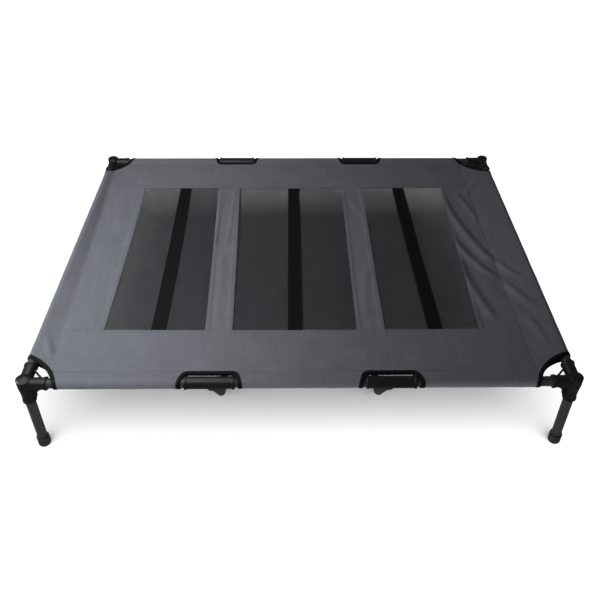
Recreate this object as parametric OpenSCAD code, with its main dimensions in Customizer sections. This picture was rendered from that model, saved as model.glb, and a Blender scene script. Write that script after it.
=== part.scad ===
// Raised pet cot: a push-fit tube frame that holds a stretched woven cover off the floor.
// The origin is on the floor under the middle of the bed. X runs along the long rails, and the
// front is towards -Y. Every corner is modelled once, in a frame of its own: the origin is where
// the two rail axes meet, +X and +Y run inwards along the rails, and the leg leans out and down.

/* [Frame] */
// Distance between the corner posts along the long rails
frame_length = 1188; // [1000:4:1500]
// Distance between the corner posts along the side rails
frame_width = 888; // [720:4:1100]
// Height of the rail axes above the floor
rail_height = 210; // [170:2:260]
// How far a foot stands out from its post, along X and along Y alike
leg_splay = 14; // [0:1:24]

/* [Tubes] */
// Outside diameter of the rails and legs
tube_d = 22; // [18:0.5:27]
// Wall thickness of every steel tube
tube_wall = 1.5; // [1:0.1:2]
// Outside diameter of the floor support bars
bar_d = 19; // [16:0.5:23]
// Slope of a support bar's arms below level
bar_slope = 59; // [50:1:70]
// Centreline radius of a support bar's bends
bar_bend = 50; // [40:1:70]
// Height of a support bar's underside above the floor
bar_clearance = 3; // [1:0.5:8]

/* [Connectors] */
// Wall of the moulded sockets
socket_wall = 2.5; // [2:0.1:3.5]
// Radial gap between a tube and its socket
tube_gap = 0.05; // [0.02:0.01:0.1]
// Solid plastic between the leg's bore and the seated end of a rail
seat_wall = 6; // [4:0.5:10]
// Distance from the post to the end of a corner's rail sockets
corner_reach = 49; // [40:1:60]
// Distance from the rail axes down to the mouth of the leg socket
leg_socket = 53; // [44:1:70]
// Distance from the rail axes down to the seated end of a leg
leg_seat = 3; // [0:0.5:8]
// End gap between a seated leg and the bottom of its bore
stop_gap = 0.1; // [0.05:0.05:0.5]
// How far a post stands above the rail axes, to the top of its dome
post_rise = 19; // [17:0.5:26]
// Height of the dome on a post
dome_rise = 5; // [3:0.5:8]
// Extra radius of a post over its leg socket
post_swell = 2; // [1:0.5:4]
// Height and width of the bead around a socket's mouth
bead_rise = 1.5; // [1:0.1:2.5]
bead_w = 5; // [4:0.5:8]
// Width of the diagonal strut between a corner's rail sockets
strut_w = 3.5; // [3:0.5:6]
// Thickness of the curved webs under a corner's rail sockets
web_t = 8; // [5:0.5:12]
// Half the length of a mid connector
mid_half = 54; // [44:1:66]
// Distance from the rail axis to the seated end of a support bar
bar_seat = 10; // [8:0.5:14]
// Distance from the rail axis to the mouth of a support bar's socket
bar_socket = 40; // [34:1:50]

/* [Feet] */
// Outside diameter of a rubber foot
foot_d = 28; // [26:0.5:36]
// Length of a foot along the leg
foot_h = 26; // [22:1:36]
// Rubber under the end of the leg tube
foot_floor = 6; // [5:0.5:8]
// Rounding of a foot's lower edge
foot_round = 5; // [3:0.5:5]

/* [Cover] */
// Thickness of the woven fabric, which is doubled at the sleeves
fabric_t = 1.2; // [0.8:0.1:1.6]
// Gap between a tube and the sleeve around it
sleeve_gap = 0.3; // [0.2:0.1:0.6]
// Hem of the long sleeves, from the outside of the rail's roll in to the seam
hem_w = 9.5; // [6:0.5:14]
// The same on the side sleeves, which are wider
side_hem_w = 44.5; // [30:0.5:55]
// Width of the stitched band where a sleeve's two layers come together
seam_w = 4.8; // [3:0.2:6]
// Width of the woven border, from a rail's axis to the mesh
border_w = 152; // [110:2:190]
// Width of the two woven columns between the mesh panels
column_w = 66; // [40:2:90]
// Width of the middle mesh panel
mesh_mid_w = 300; // [220:2:340]
// Thickness of the mesh
mesh_t = 0.8; // [0.5:0.1:1.2]
// How far the mesh runs under the woven pieces that it is sewn to
mesh_lap = 12; // [6:1:16]
// Width of the webbing down the middle of each mesh panel
webbing_w = 35; // [25:1:50]
// Thickness of the webbing
webbing_t = 1.5; // [1:0.1:2]

/* [Cut-outs] */
// Bare rail between a corner socket and the fabric
corner_cut_gap = 11; // [8:0.5:16]
// How far outside the post the corner arc has its centre, along X and Y
corner_cut_back = 47; // [30:1:70]
// Bare rail between a mid connector and the fabric
mid_cut_gap = 5.5; // [5:0.5:9]
// Gap between the side of a mid connector and the fabric
mid_cut_clear = 3.5; // [3:0.5:8]
// Rounding of a mid cut-out's corners
mid_cut_round = 11; // [8:1:12]
// Lean of a mid cut-out's ends
mid_cut_lean = 18; // [10:1:24]
// Width of the binding tape on the cut edges
tape_w = 8; // [6:0.5:9]
// Thickness of one layer of binding tape
tape_t = 1; // [0.6:0.1:1.2]

/* [Hidden] */
$fn = 64;
slack = 1; // how far a cutting tool runs past what it cuts
sleeve_steps = 24; // flats round a sleeve
wrap_steps = 18; // flats of the tape round a sleeve's end, the same as the sleeve's own
bar_sides = 24; // flats round a support bar
bend_steps = 6; // straight steps in a support bar's bend
dome_steps = 8; // straight steps in the dome on a post
bead_sides = 24; // flats of a bead's rounded edge
arc_sides = 96; // flats of a corner cut-out's full circle
seam_tip = 0.15; // height of a sleeve's pocket where its two layers meet
tube_r = tube_d / 2;
bar_r = bar_d / 2;
rail_bore_r = tube_r + tube_gap;
bar_bore_r = bar_r + tube_gap;
rail_socket_r = rail_bore_r + socket_wall;
bar_socket_r = bar_bore_r + socket_wall;
bead_r = rail_socket_r + bead_rise;
bead_edge = 0.6 * bead_rise; // radius of a bead's rounded edge
post_r = rail_socket_r + post_swell;
strut_at = corner_reach - bead_w / 2;
strut_half = strut_w / sqrt(2); // half the strut's width, as a rail's axis crosses it
corner_seat = rail_bore_r + seat_wall;
mid_seat = bar_bore_r + seat_wall / 2;
// The three tubes of a long rail are equal, which sets where the mid connectors stand
mid_x = (frame_length / 2 - corner_seat + mid_seat) / 3;
long_tube_l = 2 * (mid_x - mid_seat);
side_tube_l = frame_width - 2 * corner_seat;
leg_run = norm([leg_splay, leg_splay, rail_height]);
leg_tilt = atan2(norm([leg_splay, leg_splay]), rail_height);
foot_r = foot_d / 2;
bar_drop = rail_height - bar_clearance - bar_r;
bar_arm_run = bar_drop / tan(bar_slope);
bar_bend_cut = bar_bend * tan(bar_slope / 2);
bar_floor_half = frame_width / 2 - bar_arm_run - bar_bend_cut;
sleeve_in_r = tube_r + sleeve_gap;
sleeve_out_r = sleeve_in_r + fabric_t;
long_seam = sleeve_out_r + hem_w;
side_seam = sleeve_out_r + side_hem_w;
sheet_low = rail_height + sleeve_in_r;
sheet_top = rail_height + sleeve_out_r;
inner_l = frame_length - 2 * border_w;
inner_w = frame_width - 2 * border_w;
mesh_side_w = (inner_l - mesh_mid_w) / 2 - column_w;
column_x = (mesh_mid_w + column_w) / 2;
mesh_side_x = (inner_l - mesh_side_w) / 2;
corner_cut_edge = corner_reach + corner_cut_gap;
corner_cut_r = norm([corner_cut_edge + corner_cut_back, corner_cut_back]);
mid_cut_depth = bead_r + mid_cut_clear;
mid_cut_cy = mid_cut_depth - mid_cut_round;
mid_cut_tip = mid_cut_round * cos(mid_cut_lean)
    + (mid_cut_cy + mid_cut_round * sin(mid_cut_lean)) * tan(mid_cut_lean);
mid_cut_cx = mid_half + mid_cut_gap - mid_cut_tip;
cutter = 4 * tube_d; // height of the upright cutting tools

// ---- Placing ----

// Puts a corner's own frame at one of the four corners. sx and sy are the signs of its place.
module at_corner(sx, sy) {
    translate([sx * frame_length / 2, sy * frame_width / 2, rail_height])
        mirror([sx > 0 ? 1 : 0, 0, 0])
            mirror([0, sy > 0 ? 1 : 0, 0])
                children();
}

// Puts a frame on a long rail's axis: X along the rail, +Y towards the middle of the bed.
module on_long_rail(sy, x = 0) {
    translate([x, sy * frame_width / 2, rail_height])
        mirror([0, sy > 0 ? 1 : 0, 0])
            children();
}

// The same on a side rail: Y along the rail, +X towards the middle of the bed.
module on_side_rail(sx) {
    translate([sx * frame_length / 2, 0, rail_height])
        mirror([sx > 0 ? 1 : 0, 0, 0])
            children();
}

// Turns +Z along the leg, pointing up it, in a corner's frame.
module along_leg() {
    rotate(a = leg_tilt, v = [-1, 1, 0]) children();
}

// Turns +Z along a support bar's arm, pointing down it and inwards, on a long rail.
module along_arm() {
    rotate([-90 - bar_slope, 0, 0]) children();
}

// Turns a section into a length along X (or along Y), with the section's x pointing inwards.
module extrude_x(length) {
    rotate([90, 0, 90]) linear_extrude(height = length, center = true) children();
}
module extrude_y(length) {
    rotate([90, 0, 0]) linear_extrude(height = length, center = true) children();
}

// ---- Frame ----

// A round tube along +Z from z = 0.
module tube(r, length) {
    difference() {
        cylinder(h = length, r = r);
        translate([0, 0, -slack])
            cylinder(h = length + 2 * slack, r = r - tube_wall);
    }
}

// The outside of a socket along +Z, with a rounded bead at its mouth.
module socket_body(r, reach) {
    core = r + bead_rise - bead_edge;
    cylinder(h = reach, r = r);
    rotate_extrude() {
        translate([0, reach - bead_w]) square([core, bead_w]);
        translate([0, reach - bead_w + bead_edge])
            square([r + bead_rise, bead_w - 2 * bead_edge]);
        for (z = [reach - bead_w + bead_edge, reach - bead_edge])
            translate([core, z]) circle(r = bead_edge, $fn = bead_sides);
    }
}

// Half section of a post and its leg socket: narrow at the mouth, swollen and domed at the top.
module post_section() {
    shoulder = post_rise - dome_rise;
    dome_r = (post_r * post_r + dome_rise * dome_rise) / (2 * dome_rise);
    polygon([
        [0, -leg_socket],
        [rail_socket_r, -leg_socket],
        [rail_socket_r, -leg_socket / 2],
        [post_r, -rail_socket_r / 2],
        [post_r, shoulder],
        for (t = [1 : dome_steps]) let (a = asin(post_r / dome_r) * (1 - t / dome_steps))
            [dome_r * sin(a), post_rise - dome_r + dome_r * cos(a)]
    ]);
}

// Curved web between a rail socket and the leg socket, thickest where the two meet.
module web_section() {
    span = corner_reach - bead_w;
    difference() {
        translate([0, -span]) square([span, span]);
        translate([span, -span]) circle(r = span - rail_socket_r - slack);
    }
}

// Three-way moulding: two rail sockets, a domed post with the leg socket, a strut and two webs.
module corner_connector() {
    color("#1b1d1f") difference() {
        union() {
            along_leg() rotate_extrude() post_section();
            along_leg() mirror([0, 0, 1]) socket_body(rail_socket_r, leg_socket);
            rotate([0, 90, 0]) socket_body(rail_socket_r, corner_reach);
            rotate([-90, 0, 0]) socket_body(rail_socket_r, corner_reach);
            rotate([90, 0, 0]) linear_extrude(height = web_t, center = true) web_section();
            rotate([90, 0, 90]) linear_extrude(height = web_t, center = true) web_section();
            linear_extrude(height = web_t, center = true) polygon([
                [strut_at - strut_half, 0], [strut_at + strut_half, 0],
                [0, strut_at + strut_half], [0, strut_at - strut_half]
            ]);
        }
        along_leg() translate([0, 0, -leg_socket - rail_socket_r])
            cylinder(h = leg_socket + rail_socket_r - leg_seat + stop_gap, r = rail_bore_r);
        translate([corner_seat, 0, 0]) rotate([0, 90, 0])
            cylinder(h = corner_reach, r = rail_bore_r);
        translate([0, corner_seat, 0]) rotate([-90, 0, 0])
            cylinder(h = corner_reach, r = rail_bore_r);
    }
}

// The leg tube stands between its stop in the post and the floor of its foot.
module leg_tube() {
    color("#26282a") along_leg() translate([0, 0, foot_floor - leg_run])
        tube(tube_r, leg_run - foot_floor - leg_seat);
}

// Rubber cap pushed over the leg's end. Its lower edge is round, and the floor trims its sole.
module foot() {
    sole = foot_r * tan(leg_tilt);
    color("#141414") difference() {
        along_leg() translate([0, 0, -leg_run - sole]) rotate_extrude() {
            translate([0, foot_round]) square([foot_r, foot_h + sole - foot_round]);
            square([foot_r - foot_round, foot_h]);
            translate([foot_r - foot_round, foot_round]) circle(r = foot_round);
        }
        along_leg() translate([0, 0, foot_floor - leg_run])
            cylinder(h = foot_h, r = rail_bore_r);
        translate([-foot_d, -foot_d, -rail_height]) translate([-leg_splay, -leg_splay, -foot_d])
            cube([2 * foot_d, 2 * foot_d, foot_d]);
    }
}

// One of the three equal tubes of a long rail.
module long_tube() {
    color("#26282a") translate([-long_tube_l / 2, 0, 0]) rotate([0, 90, 0])
        tube(tube_r, long_tube_l);
}

module side_tube() {
    color("#26282a") translate([0, -side_tube_l / 2, 0]) rotate([-90, 0, 0])
        tube(tube_r, side_tube_l);
}

// Straight moulding that joins two rail tubes and holds one end of a support bar.
module mid_connector() {
    color("#1b1d1f") difference() {
        union() {
            for (side = [-1, 1]) rotate([0, side * 90, 0]) socket_body(rail_socket_r, mid_half);
            along_arm() socket_body(bar_socket_r, bar_socket);
        }
        for (side = [-1, 1]) rotate([0, side * 90, 0]) translate([0, 0, mid_seat])
            cylinder(h = mid_half, r = rail_bore_r);
        along_arm() translate([0, 0, bar_seat]) cylinder(h = bar_socket, r = bar_bore_r);
    }
}

// Stations along a support bar's centreline, each [y, z, upward slope]: the end of an arm, a
// bend, the run just off the floor, the other bend and the other arm's end.
function bar_stations() =
    let (
        floor_axis = bar_clearance + bar_r,
        bend = [for (i = [0 : bend_steps]) bar_slope * (1 - i / bend_steps)],
        end_y = frame_width / 2 - bar_seat * cos(bar_slope),
        end_z = rail_height - bar_seat * sin(bar_slope)
    )
    [
        [-end_y, end_z, -bar_slope],
        for (a = bend)
            [-bar_floor_half - bar_bend * sin(a), floor_axis + bar_bend * (1 - cos(a)), -a],
        for (i = [bend_steps : -1 : 0]) let (a = bend[i])
            [bar_floor_half + bar_bend * sin(a), floor_axis + bar_bend * (1 - cos(a)), a],
        [end_y, end_z, bar_slope]
    ];

// A ring of points about one station, square to the centreline there.
function bar_ring(at, r) = [
    for (i = [0 : bar_sides - 1]) let (t = 360 * i / bar_sides)
        [r * cos(t), at[0] - r * sin(t) * sin(at[2]), at[1] + r * sin(t) * cos(at[2])]
];

// The quads of a skin that joins two rings of points, which start at numbers a and b.
function skin(a, b) = [
    for (i = [0 : bar_sides - 1]) let (j = (i + 1) % bar_sides)
        [a + i, a + j, b + j, b + i]
];

// One bent tube: its outer skin, its inner skin turned about, and a flat rim at each end.
module support_bar() {
    stations = bar_stations();
    count = len(stations);
    inner = count * bar_sides;
    points = [
        for (r = [bar_r, bar_r - tube_wall], at = stations) each bar_ring(at, r)
    ];
    faces = [
        for (k = [0 : count - 2]) each skin(k * bar_sides, (k + 1) * bar_sides),
        for (k = [0 : count - 2]) each skin(inner + (k + 1) * bar_sides, inner + k * bar_sides),
        each skin(inner, 0),
        each skin((count - 1) * bar_sides, inner + (count - 1) * bar_sides)
    ];
    color("#26282a") polyhedron(points = points, faces = faces, convexity = 6);
}

// ---- Cover ----

// Turn of one flat of a sleeve's round, in degrees. The round has radius r and runs from the top,
// over the outer side, to where a straight line to the underside of the hem, at [x, y], leaves it.
function sleeve_turn(r, x, y) =
    (270 + atan2(y, x) - acos(r / norm([x, y]))) / sleeve_steps;

// Outline of a sleeve, round on the tube and drawn in to the end of its hem.
function sleeve_outline(r, x, y) =
    let (turn = sleeve_turn(r, x, y))
    [
        for (i = [0 : sleeve_steps]) [r * cos(90 + turn * i), r * sin(90 + turn * i)],
        [x, y],
        [x, r]
    ];

// Section of the fabric of a sleeve, with its two layers stitched together along the seam.
module sleeve_section(seam) {
    difference() {
        polygon(sleeve_outline(sleeve_out_r, seam, sleeve_in_r - fabric_t));
        polygon(sleeve_outline(sleeve_in_r, seam - seam_w, sleeve_in_r - seam_tip));
    }
}

// The corner cut-out is an arc about a point outside the post. grow widens it.
module corner_cut(grow = 0) {
    translate([-corner_cut_back, -corner_cut_back]) circle(r = corner_cut_r + grow, $fn = arc_sides);
}

// The mid cut-out has two leaning ends and two round corners. grow widens it on every side.
module mid_cut(grow = 0) {
    r = mid_cut_round + grow;
    touch_at = [mid_cut_cx + r * cos(mid_cut_lean), mid_cut_cy + r * sin(mid_cut_lean)];
    foot_y = -2 * bead_r; // well outside the rail
    foot_x = touch_at[0] + (touch_at[1] - foot_y) * tan(mid_cut_lean);
    for (side = [-1, 1]) translate([side * mid_cut_cx, mid_cut_cy]) circle(r = r);
    polygon([
        [-foot_x, foot_y], [-touch_at[0], touch_at[1]], [-mid_cut_cx, mid_cut_cy],
        [-mid_cut_cx, mid_cut_cy + r], [mid_cut_cx, mid_cut_cy + r],
        [mid_cut_cx, mid_cut_cy], [touch_at[0], touch_at[1]], [foot_x, foot_y]
    ]);
}

// Every cut-out of the cover, as upright cutting tools.
module cover_cuts() {
    for (sx = [-1, 1], sy = [-1, 1]) {
        at_corner(sx, sy) linear_extrude(height = cutter, center = true) corner_cut();
        on_long_rail(sy, sx * mid_x) linear_extrude(height = cutter, center = true) mid_cut();
    }
}

// A flat piece of cloth of size [x, y], centred on at, with its underside at z.
module sheet(size, at, z, t) {
    translate([at[0], at[1], z + t / 2]) cube([size[0], size[1], t], center = true);
}

module sleeve_long(sy) {
    color("#63666b") difference() {
        on_long_rail(sy) extrude_x(frame_length) sleeve_section(long_seam);
        cover_cuts();
    }
}

// A side sleeve runs between the seams of the long sleeves.
module sleeve_side(sx) {
    color("#63666b") difference() {
        on_side_rail(sx) extrude_y(frame_width - 2 * long_seam) sleeve_section(side_seam);
        cover_cuts();
    }
}

// The front and rear borders run the whole width, between the side sleeves' seams.
module border_long(sy) {
    depth = border_w - long_seam;
    color("#6b6e74") difference() {
        sheet([frame_length - 2 * side_seam, depth],
              [0, sy * (frame_width / 2 - long_seam - depth / 2)], sheet_low, fabric_t);
        cover_cuts();
    }
}

// The side borders fill in between the front border and the rear one.
module border_side(sx) {
    depth = border_w - side_seam;
    color("#6b6e74")
        sheet([depth, inner_w], [sx * (frame_length / 2 - side_seam - depth / 2), 0], sheet_low, fabric_t);
}

module column(sx) {
    color("#6b6e74") sheet([column_w, inner_w], [sx * column_x, 0], sheet_low, fabric_t);
}

// Mesh runs under the woven pieces by a seam's lap on all four sides.
module mesh(x, width) {
    color("#33353a")
        sheet([width + 2 * mesh_lap, inner_w + 2 * mesh_lap], [x, 0], sheet_low - mesh_t, mesh_t);
}

module webbing(x) {
    color("#101114") sheet([webbing_w, inner_w], [x, 0], sheet_low, webbing_t);
}

// The band of tape along a cut edge, as a flat shape: from just inside the cut to tape_w beyond.
module corner_band(from, to) {
    difference() {
        corner_cut(to);
        corner_cut(from);
    }
}

module mid_band(from, to) {
    difference() {
        mid_cut(to);
        mid_cut(from);
    }
}

// Outer half of a ring about a rail, which carries the tape round the sleeve's end.
module half_ring(r_in, r_out) {
    intersection() {
        difference() {
            circle(r = r_out);
            circle(r = r_in);
        }
        translate([-2 * r_out, -r_out]) square([2 * r_out, 2 * r_out]);
    }
}

// Tape on a corner cut-out: a flat arc on top, an edge, a layer underneath and two sleeve ends.
module corner_tape() {
    span = corner_cut_r;
    color("#121316") {
        translate([0, 0, sleeve_out_r]) linear_extrude(height = tape_t) intersection() {
            corner_band(-tape_t, tape_w);
            square([span, span]);
        }
        translate([0, 0, sleeve_in_r]) linear_extrude(height = fabric_t) intersection() {
            corner_band(-tape_t, 0);
            square([span, span]);
        }
        translate([0, 0, sleeve_in_r - tape_t]) linear_extrude(height = tape_t) intersection() {
            corner_band(-tape_t, tape_w);
            translate([long_seam, long_seam]) square([side_seam - 2 * seam_w - long_seam, span]);
        }
        for (turn = [0, 1]) mirror([turn, -turn, 0]) {
            intersection() {
                extrude_x(2 * span) half_ring(sleeve_out_r, sleeve_out_r + tape_t);
                linear_extrude(height = cutter, center = true) corner_band(-tape_t, tape_w);
                translate([0, -span, -cutter]) cube([span, 2 * span, 2 * cutter]);
            }
            intersection() {
                extrude_x(2 * span) half_ring(sleeve_in_r, sleeve_out_r);
                linear_extrude(height = cutter, center = true) corner_band(-tape_t, 0);
                translate([0, -span, -cutter]) cube([span, 2 * span, 2 * cutter]);
            }
        }
    }
}

// Section of a layer that comes over a long rail from the bed's side and round its outer half.
// Its flats turn with those of the sleeve, so that the two lie face to face.
function wrap_outline(r_in, r_out, span) =
    let (turn = sleeve_turn(sleeve_out_r, long_seam, sleeve_in_r - fabric_t))
    [
        [span, r_in],
        [span, r_out],
        for (i = [0 : wrap_steps]) [r_out * cos(90 + turn * i), r_out * sin(90 + turn * i)],
        for (i = [wrap_steps : -1 : 0]) [r_in * cos(90 + turn * i), r_in * sin(90 + turn * i)]
    ];

// Tape on a mid cut-out: one layer on the fabric, flat and round both sleeve ends, and its edge.
module mid_tape() {
    span = 2 * mid_half;
    color("#121316") {
        intersection() {
            extrude_x(2 * span) polygon(wrap_outline(sleeve_out_r, sleeve_out_r + tape_t, span));
            linear_extrude(height = cutter, center = true) mid_band(-tape_t, tape_w);
        }
        intersection() {
            extrude_x(2 * span) polygon(wrap_outline(sleeve_in_r, sleeve_out_r, span));
            linear_extrude(height = cutter, center = true) mid_band(-tape_t, 0);
        }
    }
}

// ---- Nodes ----

at_corner(-1, -1) corner_connector();  // corner_connector_front_left
at_corner(1, -1) corner_connector();  // corner_connector_front_right
at_corner(-1, 1) corner_connector();  // corner_connector_rear_left
at_corner(1, 1) corner_connector();  // corner_connector_rear_right
at_corner(-1, -1) leg_tube();  // leg_tube_front_left
at_corner(1, -1) leg_tube();  // leg_tube_front_right
at_corner(-1, 1) leg_tube();  // leg_tube_rear_left
at_corner(1, 1) leg_tube();  // leg_tube_rear_right
at_corner(-1, -1) foot();  // foot_front_left
at_corner(1, -1) foot();  // foot_front_right
at_corner(-1, 1) foot();  // foot_rear_left
at_corner(1, 1) foot();  // foot_rear_right
on_long_rail(-1, -2 * mid_x) long_tube();  // front_rail_left
on_long_rail(-1) long_tube();  // front_rail_middle
on_long_rail(-1, 2 * mid_x) long_tube();  // front_rail_right
on_long_rail(1, -2 * mid_x) long_tube();  // rear_rail_left
on_long_rail(1) long_tube();  // rear_rail_middle
on_long_rail(1, 2 * mid_x) long_tube();  // rear_rail_right
on_side_rail(-1) side_tube();  // side_rail_left
on_side_rail(1) side_tube();  // side_rail_right
on_long_rail(-1, -mid_x) mid_connector();  // mid_connector_front_left
on_long_rail(-1, mid_x) mid_connector();  // mid_connector_front_right
on_long_rail(1, -mid_x) mid_connector();  // mid_connector_rear_left
on_long_rail(1, mid_x) mid_connector();  // mid_connector_rear_right
translate([-mid_x, 0, 0]) support_bar();  // support_bar_left
translate([mid_x, 0, 0]) support_bar();  // support_bar_right
sleeve_long(-1);  // sleeve_front
sleeve_long(1);  // sleeve_rear
sleeve_side(-1);  // sleeve_left
sleeve_side(1);  // sleeve_right
border_long(-1);  // border_front
border_long(1);  // border_rear
border_side(-1);  // border_left
border_side(1);  // border_right
column(-1);  // column_left
column(1);  // column_right
mesh(-mesh_side_x, mesh_side_w);  // mesh_left
mesh(0, mesh_mid_w);  // mesh_middle
mesh(mesh_side_x, mesh_side_w);  // mesh_right
webbing(-mesh_side_x);  // webbing_left
webbing(0);  // webbing_middle
webbing(mesh_side_x);  // webbing_right
at_corner(-1, -1) corner_tape();  // corner_tape_front_left
at_corner(1, -1) corner_tape();  // corner_tape_front_right
at_corner(-1, 1) corner_tape();  // corner_tape_rear_left
at_corner(1, 1) corner_tape();  // corner_tape_rear_right
on_long_rail(-1, -mid_x) mid_tape();  // mid_tape_front_left
on_long_rail(-1, mid_x) mid_tape();  // mid_tape_front_right
on_long_rail(1, -mid_x) mid_tape();  // mid_tape_rear_left
on_long_rail(1, mid_x) mid_tape();  // mid_tape_rear_right
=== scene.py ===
# %% [markdown]
# # A raised dog bed, from its frame outwards
# The real bed is a push-fit tube frame with a sewn cover stretched over it. The frame's hard parts
# are already exact, so this lesson keeps them and gives them finishes. What has to be made here is
# the cover, with its sleeves, borders, mesh, webbing, binding tape and stitches, and the two bent
# bars under it.

# %% Load the frame
import math
import bpy
import numpy as np
from mathutils import Matrix, Vector


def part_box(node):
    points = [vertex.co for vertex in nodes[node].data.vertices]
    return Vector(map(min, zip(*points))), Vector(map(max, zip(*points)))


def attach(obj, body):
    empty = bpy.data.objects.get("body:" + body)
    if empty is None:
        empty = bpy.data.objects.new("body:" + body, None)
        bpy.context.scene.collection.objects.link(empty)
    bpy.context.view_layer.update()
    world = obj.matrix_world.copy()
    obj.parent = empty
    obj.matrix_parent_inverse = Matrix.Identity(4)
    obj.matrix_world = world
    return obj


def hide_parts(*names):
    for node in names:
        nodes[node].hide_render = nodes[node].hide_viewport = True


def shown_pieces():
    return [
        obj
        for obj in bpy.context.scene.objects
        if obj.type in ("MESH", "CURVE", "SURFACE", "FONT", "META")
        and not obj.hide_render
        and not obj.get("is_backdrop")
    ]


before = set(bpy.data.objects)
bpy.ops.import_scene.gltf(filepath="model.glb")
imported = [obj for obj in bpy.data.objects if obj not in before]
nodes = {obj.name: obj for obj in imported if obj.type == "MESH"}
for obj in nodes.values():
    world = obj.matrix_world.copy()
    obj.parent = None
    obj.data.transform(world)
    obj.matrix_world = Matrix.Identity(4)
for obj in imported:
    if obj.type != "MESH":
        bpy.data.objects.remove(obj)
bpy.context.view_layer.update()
MM = 0.001

# %% [markdown]
# ## Measure the frame
# Rail axes, seams and panel edges are read from the frame's own boxes, so the cover follows if they
# move. A few sizes that no box can give are named here, and repeat the frame's own values.


# %% Rails, seams and cut-outs
def middle(node):
    """Centre of a CAD node's box."""
    low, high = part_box(node)
    return (low + high) / 2


rail_x = middle("side_rail_right").x
rail_y = middle("rear_rail_middle").y
rail_z = middle("rear_rail_middle").z
mid_x = middle("mid_connector_front_right").x
mid_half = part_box("mid_connector_front_right")[1].x - mid_x
sleeve_r = rail_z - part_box("sleeve_front")[0].z
long_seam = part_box("sleeve_front")[1].y + rail_y
side_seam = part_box("sleeve_left")[1].x + rail_x
border_x = -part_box("border_left")[1].x
border_y = -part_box("border_front")[1].y
fabric_t = 1.2 * MM
corner_back = 47 * MM  # from a post out to the centre of its cut-out's arc, along X and Y
corner_r = math.hypot(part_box("sleeve_front")[0].x + rail_x + corner_back, long_seam + corner_back)
tape_w = 8 * MM
tape_t = 1 * MM
mid_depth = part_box("mid_tape_front_left")[1].y + rail_y - tape_w
mid_round = 11 * MM
mid_lean = math.radians(18)
mid_gap = 5.5 * MM
print("rails", round(rail_x, 4), round(rail_y, 4), round(rail_z, 4), "seams", long_seam, side_seam)

# %% [markdown]
# ## Camera
# A person stands in front of the long side and looks down at the bed, so the lens is an ordinary
# wide one and the view drops by almost half a right angle.

# %% Camera
LENS_MM = 35.32
DOWN = math.radians(44.58)
YAW = math.radians(-0.64)
ROLL = math.radians(0.25)
EYE = Vector((-0.0106, -1.2242, rail_z + 1.0183))
turn = Matrix.Rotation(YAW, 4, "Z") @ Matrix.Rotation(math.pi / 2 - DOWN, 4, "X")
camera = bpy.data.objects.new("camera", bpy.data.cameras.new("camera"))
camera.data.lens = LENS_MM
camera.matrix_world = Matrix.Translation(EYE) @ turn @ Matrix.Rotation(ROLL, 4, "Z")
bpy.context.scene.collection.objects.link(camera)
bpy.context.scene.camera = camera
print("camera", LENS_MM, "mm, eye at", [round(c, 3) for c in EYE])

# %% [markdown]
# ## Colours and nodes
# A paint or dye is given as the hex value that a screen shows, and one function turns it into the
# linear numbers that a renderer mixes. One more function adds any node with its settings and
# links, so each finish below reads as a short recipe.


# %% Helpers for finishes
def linear(code):
    """An sRGB hex colour as linear red, green, blue and alpha."""
    parts = [int(code[i:i + 2], 16) / 255 for i in (1, 3, 5)]
    return tuple(c / 12.92 if c <= 0.04045 else ((c + 0.055) / 1.055) ** 2.4 for c in parts) + (1,)


def add_node(tree, kind, inputs=None, **settings):
    """Adds a node. inputs maps a socket to a value, or to another node's output."""
    made = tree.nodes.new(kind)
    for name, value in settings.items():
        setattr(made, name, value)
    for socket, value in (inputs or {}).items():
        if isinstance(value, bpy.types.NodeSocket):
            tree.links.new(value, made.inputs[socket])
        else:
            made.inputs[socket].default_value = value
    return made


def new_finish(name, **sockets):
    """A material with one Principled shader, and its tree."""
    material = bpy.data.materials.new(name)
    material.use_nodes = True
    tree = material.node_tree
    shader = tree.nodes["Principled BSDF"]
    for socket, value in sockets.items():
        shader.inputs[socket.replace("_", " ")].default_value = value
    return material, tree, shader


def mixed(tree, factor, low, high):
    """A colour between two hex colours, by a factor."""
    mix = add_node(tree, "ShaderNodeMix", {0: factor, 6: linear(low), 7: linear(high)}, data_type="RGBA")
    return mix.outputs[2]


def waves(tree, place, pitch, direction="X"):
    """A sine from 0 to 1 that repeats every pitch metres along one direction."""
    turns = 2 * math.pi / (20 * pitch)  # a Wave texture has 20 radians to one unit of scale
    wave = add_node(tree, "ShaderNodeTexWave", {"Vector": place, "Scale": turns}, bands_direction=direction)
    return wave.outputs["Fac"]


def noise(tree, place, size, detail=2.0):
    """Smooth noise whose blotches are about size metres across."""
    sockets = {"Vector": place, "Scale": 1 / size, "Detail": detail}
    return add_node(tree, "ShaderNodeTexNoise", sockets).outputs["Fac"]


def bumped(tree, shader, height, depth, strength=1.0):
    """Tips the shader's normal by a height field whose full depth is given in metres."""
    bump = add_node(tree, "ShaderNodeBump", {"Height": height, "Distance": depth, "Strength": strength})
    tree.links.new(bump.outputs[0], shader.inputs["Normal"])
    return bump


# %% [markdown]
# ## Moulded polypropylene
# The connectors and sockets are injection moulded from black polypropylene in a lightly sparked
# tool. That leaves a soft gloss with a fine grain, so a lamp shows as a long blurred streak.
# A Bevel node rounds the hard edges by about half a millimetre, as the tool's own corners are.


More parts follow.
